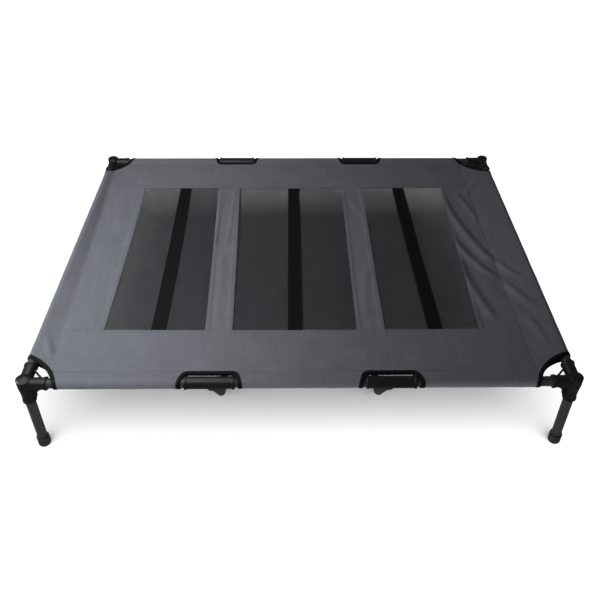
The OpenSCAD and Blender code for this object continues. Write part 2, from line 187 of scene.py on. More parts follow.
# %% Connector plastic
def moulded_polypropylene():
    material, tree, shader = new_finish("moulded_polypropylene", IOR=1.49)
    place = add_node(tree, "ShaderNodeTexCoord").outputs["Object"]
    cloud = noise(tree, place, 25 * MM)
    tree.links.new(mixed(tree, cloud, "#0d0e0f", "#17191b"), shader.inputs["Base Color"])
    worn = add_node(tree, "ShaderNodeMapRange", {0: cloud, 3: 0.30, 4: 0.44})
    tree.links.new(worn.outputs[0], shader.inputs["Roughness"])
    edges = add_node(tree, "ShaderNodeBevel", {"Radius": 0.6 * MM}, samples=4)
    grain = noise(tree, place, 0.9 * MM, 1.0)
    bump = bumped(tree, shader, grain, 0.03 * MM)
    tree.links.new(edges.outputs[0], bump.inputs["Normal"])
    return material


plastic = moulded_polypropylene()
print("finish", plastic.name)

# %% [markdown]
# ## Powder-coated steel
# Rails, legs and support bars are thin steel tube under baked black powder. The powder melts into a
# skin with a slight orange peel, which breaks highlights into a satin band along the tube.


# %% Tube finish
def powder_coat():
    material, tree, shader = new_finish("black_powder_coat", IOR=1.5)
    place = add_node(tree, "ShaderNodeTexCoord").outputs["Object"]
    cloud = noise(tree, place, 60 * MM)
    tree.links.new(mixed(tree, cloud, "#303235", "#3e4043"), shader.inputs["Base Color"])
    satin = add_node(tree, "ShaderNodeMapRange", {0: cloud, 3: 0.38, 4: 0.5})
    tree.links.new(satin.outputs[0], shader.inputs["Roughness"])
    bumped(tree, shader, noise(tree, place, 1.6 * MM), 0.05 * MM)
    return material


steel = powder_coat()
print("finish", steel.name)

# %% [markdown]
# ## Rubber
# The feet are soft black rubber caps. Rubber is nearly matt, picks up pale dust, and has no
# clear highlight, so its roughness is high and dust lightens it in patches.


# %% Foot rubber
def moulded_rubber():
    material, tree, shader = new_finish("black_rubber", IOR=1.52)
    place = add_node(tree, "ShaderNodeTexCoord").outputs["Object"]
    dust = noise(tree, place, 8 * MM, 4.0)
    tree.links.new(mixed(tree, dust, "#232425", "#363738"), shader.inputs["Base Color"])
    dull = add_node(tree, "ShaderNodeMapRange", {0: dust, 3: 0.62, 4: 0.8})
    tree.links.new(dull.outputs[0], shader.inputs["Roughness"])
    bumped(tree, shader, noise(tree, place, 1.2 * MM), 0.06 * MM)
    return material


rubber = moulded_rubber()
print("finish", rubber.name)

# %% [markdown]
# ## Woven Oxford cloth
# The grey cover is taken as coated polyester Oxford: a basket weave of thick yarns, about a thread
# a millimetre. The weave here repeats every 2.2 mm, because a finer one is lost at the size of a
# render. Uneven yarns leave faint streaks along both directions of the cloth, and those do show.


# %% Cloth finishes
THREAD = 2.2 * MM


def cloth_place(tree):
    """Position on the flat cloth, in metres: across in X and along in Y."""
    return add_node(tree, "ShaderNodeUVMap", uv_map="cloth").outputs[0]


def stretched(tree, place, across, along):
    """A place scaled so that noise on it is drawn out into streaks."""
    return add_node(tree, "ShaderNodeMapping", {"Vector": place, "Scale": (across, along, 1)}).outputs[0]


def oxford(name, dark, light):
    material, tree, shader = new_finish(name, IOR=1.45, Specular_IOR_Level=0.25)
    place = cloth_place(tree)
    warp = waves(tree, place, THREAD, "X")
    weft = waves(tree, place, THREAD, "Y")
    weave = add_node(tree, "ShaderNodeMath", {0: warp, 1: weft}, operation="MULTIPLY").outputs[0]
    streak_a = noise(tree, stretched(tree, place, 1, 0.06), 5 * MM)
    streak_b = noise(tree, stretched(tree, place, 0.06, 1), 5 * MM)
    cloud = noise(tree, place, 70 * MM, 4.0)
    shade = add_node(tree, "ShaderNodeMath", {0: streak_a, 1: streak_b}, operation="ADD").outputs[0]
    shade = add_node(tree, "ShaderNodeMath", {0: cloud, 1: shade}, operation="ADD").outputs[0]
    shade = add_node(tree, "ShaderNodeMath", {0: weave, 1: 0.5, 2: shade}, operation="MULTIPLY_ADD")
    shade = shade.outputs[0]
    shade = add_node(tree, "ShaderNodeMapRange", {0: shade, 1: 1.0, 2: 2.3}).outputs[0]
    tree.links.new(mixed(tree, shade, dark, light), shader.inputs["Base Color"])
    coat = add_node(tree, "ShaderNodeMapRange", {0: cloud, 3: 0.62, 4: 0.74})
    tree.links.new(coat.outputs[0], shader.inputs["Roughness"])
    bumped(tree, shader, weave, 0.16 * MM)
    return material


cover_cloth = oxford("grey_oxford", "#63656c", "#74767d")
print("finish", cover_cloth.name)

# %% [markdown]
# ## Mesh yarn, webbing, binding and thread
# The mesh is woven from charcoal yarn dipped in soft vinyl, so each yarn has a slight gloss. The
# webbing and the binding are black: one is nylon with a herringbone of fine ribs, the other
# grosgrain with ribs straight across. Sewing thread is bonded polyester and reads as small beads.


# %% Finishes of the smaller textiles
def dipped_yarn():
    material, tree, shader = new_finish("dipped_mesh_yarn", IOR=1.5, Specular_IOR_Level=0.3)
    place = add_node(tree, "ShaderNodeTexCoord").outputs["Object"]
    cloud = noise(tree, place, 40 * MM, 3.0)
    tree.links.new(mixed(tree, cloud, "#303135", "#3b3c40"), shader.inputs["Base Color"])
    gloss = add_node(tree, "ShaderNodeMapRange", {0: cloud, 3: 0.5, 4: 0.65})
    tree.links.new(gloss.outputs[0], shader.inputs["Roughness"])
    return material


def ribbed(name, dark, light, pitch, zigzag):
    """Ribbed tape: straight ribs, or ribs that turn at the middle into a herringbone."""
    material, tree, shader = new_finish(name, IOR=1.5, Specular_IOR_Level=0.15)
    place = cloth_place(tree)
    if zigzag:
        parts = add_node(tree, "ShaderNodeSeparateXYZ", {0: place}).outputs
        side = add_node(tree, "ShaderNodeMath", {0: parts[0]}, operation="ABSOLUTE").outputs[0]
        place = add_node(tree, "ShaderNodeCombineXYZ", {0: side, 1: parts[1]}).outputs[0]
    ribs = waves(tree, place, pitch, "DIAGONAL" if zigzag else "Y")
    cloud = noise(tree, place, 12 * MM)
    shade = add_node(tree, "ShaderNodeMath", {0: ribs, 1: cloud}, operation="MULTIPLY").outputs[0]
    tree.links.new(mixed(tree, shade, dark, light), shader.inputs["Base Color"])
    dull = add_node(tree, "ShaderNodeMapRange", {0: cloud, 3: 0.6, 4: 0.75})
    tree.links.new(dull.outputs[0], shader.inputs["Roughness"])
    bumped(tree, shader, ribs, 0.2 * MM)
    return material


def sewing_thread(name, dark, light):
    material, tree, shader = new_finish(name, IOR=1.5)
    place = add_node(tree, "ShaderNodeTexCoord").outputs["Object"]
    cloud = noise(tree, place, 3 * MM)
    tree.links.new(mixed(tree, cloud, dark, light), shader.inputs["Base Color"])
    soft = add_node(tree, "ShaderNodeMapRange", {0: cloud, 3: 0.45, 4: 0.6})
    tree.links.new(soft.outputs[0], shader.inputs["Roughness"])
    return material


mesh_yarn = dipped_yarn()
nylon = ribbed("black_nylon_webbing", "#090a0b", "#131417", 3 * MM, True)
grosgrain = ribbed("black_grosgrain", "#0b0c0e", "#17181b", 2 * MM, False)
grey_thread = sewing_thread("grey_thread", "#43464c", "#565960")
black_thread = sewing_thread("black_thread", "#0c0d0f", "#1b1c1f")
print("finishes", [m.name for m in (mesh_yarn, nylon, grosgrain, grey_thread, black_thread)])

# %% [markdown]
# ## Finish the hard parts
# These pieces are the frame's own, so only their finish changes. Each name starts with what the
# piece is, which is all that is needed to choose.

# %% Give each hard part its finish
HARD = {"corner_connector": plastic, "mid_connector": plastic, "leg_tube": steel, "front_rail": steel,
        "rear_rail": steel, "side_rail": steel, "foot": rubber}
finished = 0
for name, piece in nodes.items():
    for start, material in HARD.items():
        if name.startswith(start):
            piece.data.materials.clear()
            piece.data.materials.append(material)
            finished += 1
print("finished", finished, "hard parts")

# %% [markdown]
# ## Two ways to make a surface
# A flat or wrapped cloth is a grid: a table of points with rows and columns. A tube, yarn, strap or
# stitch is a sweep: one closed outline carried along a line. Both are worked out as whole arrays,
# and a modifier then gives a sheet its thickness.


# %% Grids, sweeps and new pieces
def unit(vectors):
    """The same directions, each of length 1."""
    return vectors / np.linalg.norm(vectors, axis=-1, keepdims=True)


def run_length(points):
    """Length along a line of points, from its first point to each of them."""
    return np.concatenate([[0], np.cumsum(np.linalg.norm(np.diff(points, axis=0), axis=-1))])


def grid_faces(rows, cols, keep=None):
    """Quads of a grid whose points run row by row. keep marks the cells that stay."""
    i, j = np.meshgrid(np.arange(rows - 1), np.arange(cols - 1), indexing="ij")
    corner = i * cols + j
    quads = np.stack([corner, corner + cols, corner + cols + 1, corner + 1], axis=-1)
    return quads.reshape(-1, 4) if keep is None else quads[keep]


def sweep(centres, across, up, outline, loop=False):
    """Carries an outline along lines. centres, across and up are (strands, points, 3), and outline
    is (sides, 2) or (strands, points, sides, 2), anticlockwise, as amounts of across and of up:
    point = centre + across * outline[0] + up * outline[1]."""
    strands, count, _ = centres.shape
    outline = np.broadcast_to(outline, (strands, count) + outline.shape[-2:])
    sides = outline.shape[2]
    sideways, upward = across[:, :, None] * outline[..., :1], up[:, :, None] * outline[..., 1:]
    points = centres[:, :, None] + sideways + upward
    ring, side = np.meshgrid(np.arange(count if loop else count - 1), np.arange(sides), indexing="ij")
    after, beside = (ring + 1) % count, (side + 1) % sides
    this, next_ = ring * sides, after * sides
    skin = np.stack([this + side, this + beside, next_ + beside, next_ + side], -1)
    quads = [skin.reshape(-1, 4)]
    if not loop:
        k = np.arange(1, sides - 1, 2)
        zero = np.zeros_like(k)
        quads.append(np.stack([zero, k + 2, k + 1, k], -1) % sides)
        quads.append(np.stack([zero, k, k + 1, k + 2], -1) % sides + (count - 1) * sides)
        if sides % 2:
            raise ValueError("an open sweep needs an even number of sides")
    quads = np.concatenate(quads)
    starts = np.arange(strands) * count * sides
    return points.reshape(-1, 3), (quads[None] + starts[:, None, None]).reshape(-1, 4)


def new_piece(name, points, faces, material, uv=None, wall=0.0):
    """Makes a smooth piece that rides the frame. wall gives a sheet its thickness, below it."""
    used, places = np.unique(faces, return_inverse=True)
    points, faces = points[used], places.reshape(faces.shape)
    mesh = bpy.data.meshes.new(name)
    mesh.from_pydata(points.tolist(), [], faces.tolist(), shade_flat=False)
    if uv is not None:
        layer = mesh.uv_layers.new(name="cloth")
        layer.data.foreach_set("uv", uv[used][faces.ravel()].astype(np.float32).ravel())
    mesh.materials.append(material)
    piece = bpy.data.objects.new(name, mesh)
    bpy.context.scene.collection.objects.link(piece)
    if wall:
        edge_of = np.zeros(len(mesh.loops), dtype=np.int32)
        mesh.loops.foreach_get("edge_index", edge_of)
        sharp = np.bincount(edge_of, minlength=len(mesh.edges)) == 1  # the rim stays crisp
        mesh.edges.foreach_set("use_edge_sharp", sharp)
        solid = piece.modifiers.new("thickness", "SOLIDIFY")
        solid.thickness = wall
        solid.offset = -1
        solid.use_even_offset = False
    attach(piece, "root")
    print(name, len(faces), "faces")
    return piece


def ring_outline(width, height, sides):
    """An ellipse as a closed outline, anticlockwise."""
    a = np.arange(sides) * 2 * np.pi / sides
    return np.stack([width / 2 * np.cos(a), height / 2 * np.sin(a)], -1)


# %% [markdown]
# ## Support bars
# Each bar is one tube bent twice: an arm from a mid connector, a bend, a run just off the floor,
# and the same again. Its line is worked out from its slope and bend, then a circle is swept along.


# %% Bent tubes
BAR_SLOPE = math.radians(59)
BAR_BEND = 50 * MM
BEND_STEPS = 24


def bar_line(name):
    """Centreline in Y and Z, and its slope: straight arms that meet the floor run in two arcs."""
    low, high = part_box(name)
    radius = (high.x - low.x) / 2
    floor_z = low.z + radius
    end_z = high.z - radius * math.cos(BAR_SLOPE)
    end_y = high.y - radius * math.sin(BAR_SLOPE)
    slope = BAR_SLOPE * np.linspace(1, 0, BEND_STEPS)
    rise = BAR_BEND * (1 - np.cos(slope))
    run_half = end_y - (end_z - floor_z - rise[0]) / math.tan(BAR_SLOPE) - BAR_BEND * math.sin(BAR_SLOPE)
    bend_y = run_half + BAR_BEND * np.sin(slope)
    y = np.concatenate([[-end_y], -bend_y, bend_y[::-1], [end_y]])
    z = np.concatenate([[end_z], floor_z + rise, floor_z + rise[::-1], [end_z]])
    tilt = np.concatenate([[-BAR_SLOPE], -slope, slope[::-1], [BAR_SLOPE]])
    return radius, y, z, tilt


def support_bar(side):
    name = f"support_bar_{side}"
    radius, y, z, tilt = bar_line(name)
    x = middle(name).x
    centres = np.stack([np.full_like(y, x), y, z], -1)[None]
    across = np.zeros_like(centres)
    across[..., 0] = -1
    up = np.stack([np.zeros_like(tilt), -np.sin(tilt), np.cos(tilt)], -1)[None]
    points, faces = sweep(centres, across, up, ring_outline(2 * radius, 2 * radius, 32))
    bar = new_piece(f"bent_bar_{side}", points, faces, steel)
    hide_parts(name)


for side in ("left", "right"):
    support_bar(side)

# %% [markdown]
# ## How the cover lies
# A stretched cover is never quite flat or quite square. It sags a few millimetres to its middle, it
# has crept to one side on its rails, and slack near the right side gathers in long folds. All of
# this is one height and one shift for each point, so every sewn piece still meets its neighbour.

# %% Sag, creep and folds
LEVEL_MIDDLE = -6 * MM  # heights over the rails' axes
LEVEL_SIDE = 1.5 * MM
LEVEL_LONG = 8 * MM
LEVEL_CORNER = 8 * MM
edge_x = rail_x - side_seam
edge_y = rail_y - long_seam
FEATURES = [-edge_x, -border_x, middle("webbing_left").x, middle("column_left").x, 0.0,
            middle("column_right").x, middle("webbing_right").x, border_x, edge_x]
FRONT_CREEP = [-19, -15, -2, -7, -11, -18, -11, -22, -20]  # mm at each feature, along the front
REAR_CREEP = [-40, -20, -12, -31, -14, -20, -26, -8, -22]


def ease(t):
    """A smooth step from 0 to 1."""
    t = np.clip(t, 0, 1)
    return t * t * (3 - 2 * t)


def creep(x, y):
    """Sideways shift of the sewn panels: straight between features and from front to rear."""
    share = np.clip(y / border_y, -1.2, 1.2) / 2 + 0.5
    front = np.interp(x, FEATURES, FRONT_CREEP)
    rear = np.interp(x, FEATURES, REAR_CREEP)
    return (front + (rear - front) * share) * MM


def seam_in(side, y):
    """Distance of a side seam from its rail's axis. side is -1 on the left and 1 on the right."""
    return side_seam - side * creep(side * edge_x, y)


def sag(x, y):
    """Height over the rail axes: four levels blended by the squares of the way to each edge."""
    a = np.clip(np.abs(x) / edge_x, 0, 1) ** 2
    b = np.clip(np.abs(y) / edge_y, 0, 1) ** 2
    inside = LEVEL_MIDDLE * (1 - b) + LEVEL_LONG * b
    return inside * (1 - a) + (LEVEL_SIDE * (1 - b) + LEVEL_CORNER * b) * a


# Each fold is three places along its crest in mm, its half width, and its height before FOLD_RISE.
FOLDS = [
    [(433, 232), (455, 105), (508, -45), 12, 3.2],
    [(429, 45), (452, -26), (498, -106), 11, 3.0],
    [(421, -50), (435, -148), (462, -258), 13, 3.0],
    [(527, -55), (548, -98), (583, -130), 10, 2.6],
    [(520, -130), (550, -189), (582, -240), 12, 3.0],
    [(546, -262), (556, -300), (563, -338), 10, 2.2],
    [(478, 250), (496, 190), (505, 130), 9, 1.6],
    [(560, 330), (528, 296), (505, 262), 8, 1.8],
    [(-597, -297), (-578, -330), (-556, -370), 9, 2.6],
    [(-228, 275), (-230, 157), (-229, 20), 7, 1.1],
    [(-193, 280), (-192, 170), (-198, 40), 6, 1.2],
    [(-205, -20), (-200, -130), (-196, -260), 9, 0.7],
    [(150, 250), (170, 200), (187, 130), 9, 0.8],
    [(180, -60), (168, -130), (162, -230), 9, 0.8],
    [(-520, 250), (-510, 150), (-505, 40), 16, 0.8],
    [(-505, -120), (-498, -200), (-480, -290), 15, 0.7],
]


FOLD_RISE = 1.7
FOLD_FADE = 0.035  # metres over which a crest rises from nothing at each end
TROUGH_W = 2.2  # the dip beside a crest, against the crest's width and height
TROUGH_DEPTH = 0.4


def fold(x, y, first, second, third, width, height):
    """A ridge with a parabola x = ay2 + by + c as its crest. Off the crest its height goes as
    exp(-(off / width)^2), less a wider and lower bell that makes a dip on both sides."""
    places = np.array([first, second, third]) * MM
    a, b, c = np.polyfit(places[:, 1], places[:, 0], 2)
    low, high = places[:, 1].min(), places[:, 1].max()
    held = np.clip(y, low, high)
    slope = 2 * a * held + b
    off = (x - (a * held * held + b * held + c)) / np.sqrt(1 + slope * slope)
    fade = ease((y - low) / FOLD_FADE + 0.5) * ease((high - y) / FOLD_FADE + 0.5)
    bell = np.exp(-(off / (width * MM)) ** 2)
    trough = np.exp(-(off / (TROUGH_W * width * MM)) ** 2)
    return FOLD_RISE * height * MM * (bell - TROUGH_DEPTH * trough) * fade


def ripples(x, y, seed, size, count=14):
    """Soft unevenness, from -1 to 1: a sum of sines in seeded directions."""
    rng = np.random.default_rng(seed)
    angle = rng.uniform(0, 2 * np.pi, count)
    pitch = size * rng.uniform(0.7, 1.6, count)
    start = rng.uniform(0, 2 * np.pi, count)
    turns = 2 * np.pi / pitch
    across, along = turns * np.cos(angle), turns * np.sin(angle)
    phase = np.multiply.outer(x, across) + np.multiply.outer(y, along) + start
    return np.sin(phase).sum(-1) / math.sqrt(count)


CUT_SHIFT_REAR = 24 * MM
CUT_SHIFT_FRONT = 14 * MM


def cut_shift(sx, sy):
    """How far the cover's creep has carried a corner cut-out from its post: only on the right."""
    on_right = np.where(np.asarray(sy) > 0, CUT_SHIFT_REAR, CUT_SHIFT_FRONT)
    return np.where(np.asarray(sx) > 0, on_right, 0.0)


def calm(x, y):
    """0 beside a bound cut-out, which the tape keeps flat, rising to 1 a little way from it."""
    arc_x = rail_x + corner_back - cut_shift(x, y)
    from_arc = np.hypot(arc_x - np.abs(x), rail_y + corner_back - np.abs(y))
    corner = ease((from_arc - corner_r - 9 * MM) / (22 * MM))
    along = (np.abs(np.abs(x) - mid_x) - mid_half - 20 * MM) / (25 * MM)
    inboard = (rail_y - np.abs(y) - mid_depth - 9 * MM) / (20 * MM)
    return corner * ease(np.maximum(along, inboard))


def creases(x, y):
    """Every fold and ripple of the cover, as a height."""
    height = sum(fold(x, y, *entry) for entry in FOLDS)
    height = height + 0.35 * MM * ripples(x, y, 3, 90 * MM) + 0.12 * MM * ripples(x, y, 4, 30 * MM)
    return height * calm(x, y)


def cloth_height(x, y):
    """Height of the cloth's top over the floor, inside the seams."""
    return rail_z + sag(x, y) + creases(x, y)


centre_height = float(cloth_height(np.zeros(1), np.zeros(1))[0])
print("folds", len(FOLDS), "cloth at the centre", round(centre_height, 4), "rails", round(rail_z, 4))

# %% [markdown]
# ## Sleeves
# A sleeve is cloth folded round a rail and sewn to itself. Its section is part of a circle on the
# tube and two straight layers that meet at the seam. It is cut away in an arc at each corner and
# in a long notch at each mid connector, so each row of the grid ends where the cut crosses it.


# %% Section and cut-outs of a sleeve
def tangents(d, e):
    """Angles at which the layers leave the tube for a seam d inboard and e above its axis."""
    reach = np.hypot(d, e)
    turned = np.arctan2(e, d)
    half = np.arccos(sleeve_r / reach)
    return turned + half, 2 * np.pi + turned - half


def section(s, d, e, droop):
    """Inboard and upward place on a sleeve. s runs from 0 to 1 along the upper layer from the seam,
    from 1 to 2 round the tube and from 2 to 3 back along the lower layer, which droops."""
    first, last = tangents(d, e)
    angle = first + (last - first) * np.clip(s - 1, 0, 1)
    top, low = np.clip(s, 0, 1), np.clip(s - 2, 0, 1)
    on_x, on_z = sleeve_r * np.cos(angle), sleeve_r * np.sin(angle)
    share = np.where(s < 1, 1 - top, low)
    inboard = on_x + (d - on_x) * share
    up = on_z + (np.where(s < 1, e, e - 1.5 * fabric_t) - on_z) * share
    return inboard, up - np.where(s > 2, droop * np.sin(np.pi * low), 0)


def corner_cut(q, shift):
    """Where a corner arc crosses a long rail's sleeve, from the post, q inboard of the rail's axis."""
    return np.sqrt(np.clip(corner_r**2 - (q + corner_back) ** 2, 0, None)) - corner_back + shift


def corner_cut_side(q, shift):
    """The same across a side rail's sleeve."""
    return np.sqrt(np.clip(corner_r**2 - (q + corner_back - shift) ** 2, 0, None)) - corner_back


mid_cy = mid_depth - mid_round
touch_q = mid_cy + mid_round * math.sin(mid_lean)
mid_cx = mid_half + mid_gap - mid_round * math.cos(mid_lean) - touch_q * math.tan(mid_lean)
touch_x = mid_cx + mid_round * math.cos(mid_lean)


def mid_cut(q):
    """Half width of a mid cut-out at q inboard of the axis: a leaning end, then a round corner."""
    line = touch_x + (touch_q - q) * math.tan(mid_lean)
    corner = mid_cx + np.sqrt(np.clip(mid_round**2 - (q - mid_cy) ** 2, 0, None))
    return np.where(q < touch_q, line, np.where(q < mid_depth, corner, mid_cx))


print("corner arc radius", round(corner_r, 4), "mid cut-out", round(float(mid_cut(0)) * 2, 4), "wide")


# %% [markdown]
# ## Building one sleeve
# Stations run along the rail and rings run round it. Where a cut-out lies, the stations between
# its two ends are dropped from every ring that the cut crosses, and only a thin strip stays.

# %% Sleeves
STEP = 4 * MM
RINGS = {"long": (8, 26, 8), "side": (20, 26, 12)}  # along the upper layer, round, and back


def ring_places(kind):
    top, round_, low = RINGS[kind]
    upper = np.linspace(0, 1, top, endpoint=False)
    turn_round = np.linspace(1, 2, round_, endpoint=False)
    return np.concatenate([upper, turn_round, np.linspace(2, 3, low + 1)])


def stations(ends, lengths):
    """Places along the rail for each ring: each stretch between two ends is divided evenly."""
    parts = []
    for k, length in enumerate(lengths):
        share = np.linspace(0, 1, max(2, round(length / STEP)) + 1)[: None if k == len(lengths) - 1 else -1]
        parts.append(ends[k] + (ends[k + 1] - ends[k]) * share[:, None])
    return np.concatenate(parts), [len(p) for p in parts]


def section_run(q, z):
    """Length along a sleeve's section, from its first point to each of them."""
    return np.concatenate([[0], np.cumsum(np.hypot(np.diff(q), np.diff(z)))])


def roll_ripple(t, s, seed):
    """Slackness of the cloth round the tube, in metres, nothing where it leaves the tube."""
    inside = np.sin(np.pi * np.clip(s - 1, 0, 1)) ** 2
    return inside * 0.2 * MM * (1 + ripples(t, s * 20 * MM, seed, 60 * MM))


def long_sleeve(side, name):
    """side is -1 at the front and 1 at the rear. Rings run from the seam over the rail and back."""
    s = ring_places("long")
    seam_z = cloth_height(np.zeros(1), side * edge_y) - rail_z
    q = section(s, long_seam, seam_z, 0.0)[0]
    left, right = (rail_x - corner_cut(q, cut_shift(sx, side)) for sx in (-1, 1))
    cut = mid_cut(q)
    ends = [-left, -mid_x - cut, -mid_x + cut, mid_x - cut, mid_x + cut, right]
    lengths = [float((ends[k + 1] - ends[k]).mean()) for k in range(5)]
    t, counts = stations(ends, lengths)
    flat_y = np.full_like(t, side * edge_y)
    e = sag(t, flat_y) + creases(t, flat_y)
    over = np.clip((np.abs(t) - rail_x + seam_in(np.sign(t), flat_y)) / side_seam, 0, 1)
    e = e + over * (sleeve_r - e)
    inboard, up = section(s[None], long_seam, e, 0.6 * MM)
    bulge = 1 + roll_ripple(t, s[None], 11 + side) / sleeve_r
    inboard, up = np.where(s < 1, inboard, inboard * bulge), np.where(s < 1, up, up * bulge)
    points = np.stack([t, side * (rail_y - inboard), rail_z + up], -1)
    owner = np.repeat(np.arange(5), counts)[:-1]
    beside = (q[:-1] + q[1:]) / 2 > mid_depth
    keep = (owner % 2 == 0)[:, None] | beside[None]
    faces = grid_faces(*t.shape, keep)
    faces = faces if side > 0 else faces[:, ::-1]
    along = section_run(*section(s, long_seam, seam_z, 0.0))
    uv = np.stack([t, np.broadcast_to(along, t.shape)], -1)
    piece = new_piece(f"sleeve_cloth_{name}", points.reshape(-1, 3), faces, cover_cloth,
                      uv.reshape(-1, 2), fabric_t)
    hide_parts(f"sleeve_{name}")
    return piece


def side_sleeve(side, name):
    """side is -1 on the left and 1 on the right. The upper layer carries the folds."""
    s = ring_places("side")
    ends = []
    for end in (-1, 1):
        t = np.full_like(s, end * (rail_y - 2 * long_seam))
        for _ in range(4):
            d = seam_in(side, t)
            e = sag(side * edge_x, t)
            q = section(s, d, e, 0.0)[0]
            t = end * (rail_y - np.maximum(corner_cut_side(q, cut_shift(side, end)), long_seam))
        ends.append(t)
    t, _ = stations(ends, [float((ends[1] - ends[0]).mean())])
    d = seam_in(side, t)
    seam_x = side * (rail_x - d)
    e = sag(seam_x, t) + creases(seam_x, t)
    inboard, up = section(s[None], d, e, 4 * MM)
    free = ease(1.15 * (1 - np.clip(s, 0, 1)))[None]
    crease = creases(side * (rail_x - inboard), t)
    up = up + np.where(s < 1, free * crease - (1 - np.clip(s, 0, 1)) * creases(seam_x, t) * free, 0)
    bulge = 1 + roll_ripple(t, s[None], 21 + side) / sleeve_r
    inboard, up = np.where(s < 1, inboard, inboard * bulge), np.where(s < 1, up, up * bulge)
    points = np.stack([side * (rail_x - inboard), t, rail_z + up], -1)
    faces = grid_faces(*t.shape)
    faces = faces if side < 0 else faces[:, ::-1]
    d0, e0 = float(d.mean()), float(e.mean())
    along = section_run(*section(s, d0, e0, 0.0))
    uv = np.stack([t, np.broadcast_to(along, t.shape)], -1)
    piece = new_piece(f"sleeve_cloth_{name}", points.reshape(-1, 3), faces,
                      cover_cloth, uv.reshape(-1, 2), fabric_t)
    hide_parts(f"sleeve_{name}")
    return piece


for side, name in ((-1, "front"), (1, "rear")):
    long_sleeve(side, name)
for side, name in ((-1, "left"), (1, "right")):
    side_sleeve(side, name)

# %% [markdown]
# ## Borders and columns
# These are flat woven panels with a folded hem where they meet the mesh. The hem is two layers, so
# it stands up by a layer's thickness, and each row of stitches pulls a shallow groove into it. The
# grid has closer rows near the hem so that the step and the grooves are real.

# %% Hems, borders and columns
HEM = 11 * MM
GROOVES = (2.2 * MM, 8 * MM)  # rows of stitches, from the hem's folded edge
HEM_ROWS = np.array([0, 0.7, 1.4, 2.2, 3.0, 4.0, 5.4, 6.8, 8.0, 9.2, 10.2, 11.0, 12.0, 14.0, 17.0]) * MM


def hem_height(d, along, seed):
    """Extra height at a distance d from a hem's folded edge: the doubled cloth, rounded at its
    edge, with a groove and small puckers along each row of stitches."""
    fold_over = 0.7 * MM * ease((HEM + 1.5 * MM - d) / (3 * MM)) * ease((d + 0.9 * MM) / (1.6 * MM))
    pucker = 0.5 + 0.5 * ripples(along, 0 * along, seed, 13 * MM, 6)
    grooves = sum(np.exp(-((d - g) / (1.0 * MM)) ** 2) for g in GROOVES)
    near = np.exp(-(d / (14 * MM)) ** 2)
    return fold_over - 0.4 * MM * grooves * (0.7 + 0.3 * pucker) + 0.22 * MM * pucker * near


def rows_to(edge_low, edge_high, hem_low, hem_high, step=STEP):
    """Places across a panel, from 0 to 1, closer together at a hemmed edge."""
    width = edge_high - edge_low
    inner = np.linspace(0, width, max(2, round(width / step)) + 1)
    if hem_low:
        inner = inner[inner > HEM_ROWS[-1] + step / 3]
    if hem_high:
        inner = inner[inner < width - HEM_ROWS[-1] - step / 3]
    at_low = HEM_ROWS if hem_low else [0.0]
    at_high = width - HEM_ROWS if hem_high else [width]
    return np.unique(np.round(np.concatenate([at_low, inner, at_high]), 7)) / width


def panel(name, node, x, y, hem):
    """A flat cloth. x and y are grids of places on the unshifted cover, and hem is its extra height."""
    at_x = x + creep(x, y)
    points = np.stack([at_x, y, cloth_height(at_x, y) + hem], -1)
    piece = new_piece(name, points.reshape(-1, 3), grid_faces(*x.shape), cover_cloth,
                      np.stack([x, y], -1).reshape(-1, 2), fabric_t)
    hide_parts(node)
    return piece


def long_border(side, name):
    """Runs the whole width between the side seams, and meets the sleeve's seam on its outer side."""
    x = np.linspace(-edge_x, edge_x, round(2 * edge_x / STEP) + 1)
    share = rows_to(0, edge_y - border_y, False, True)
    at_x = x + creep(x, side * edge_y)
    outer = rail_y - np.maximum(long_seam, corner_cut_side(rail_x - np.abs(at_x), cut_shift(at_x, side)))
    y = outer[:, None] + (border_y - outer[:, None]) * share[None]
    x = np.broadcast_to(x[:, None], y.shape)
    hem = hem_height(y - border_y, x, 31 + side)
    y = side * y
    if side > 0:
        x, y, hem = x[:, ::-1], y[:, ::-1], hem[:, ::-1]
    panel(f"border_cloth_{name}", f"border_{name}", x, y, hem)


def side_border(side, name):
    share = rows_to(0, edge_x - border_x, side > 0, side < 0)
    across = side * (border_x if side > 0 else edge_x) + (edge_x - border_x) * share
    y = np.linspace(-border_y, border_y, round(2 * border_y / STEP) + 1)
    x, y = np.meshgrid(across, y, indexing="ij")
    hem = hem_height(np.abs(x) - border_x, y, 41 + side)
    panel(f"border_cloth_{name}", f"border_{name}", x, y, hem)


def column(name):
    low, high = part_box(f"column_{name}")
    share = rows_to(low.x, high.x, True, True)
    y = np.linspace(-border_y, border_y, round(2 * border_y / STEP) + 1)
    x, y = np.meshgrid(low.x + (high.x - low.x) * share, y, indexing="ij")
    hem = hem_height(np.minimum(x - low.x, high.x - x), y, 51)
    panel(f"column_cloth_{name}", f"column_{name}", x, y, hem)


for side, name in ((-1, "front"), (1, "rear")):
    long_border(side, name)
for side, name in ((-1, "left"), (1, "right")):
    side_border(side, name)
for name in ("left", "right"):
    column(name)

# %% [markdown]
# ## Mesh panels
# The mesh lets air through, so its holes have to be real. Every yarn is a flattened strand swept
# along the sagging cover: the lengthwise yarns lie over the crosswise ones. The pitch is a guess at
# a common vinyl-dipped mesh, and the floor shows through the gaps.

# %% Mesh
YARN_PITCH = 2.2 * MM
YARN_W = 1.62 * MM
YARN_H = 0.34 * MM
YARN_SPAN = 24 * MM  # length of one straight step along a yarn


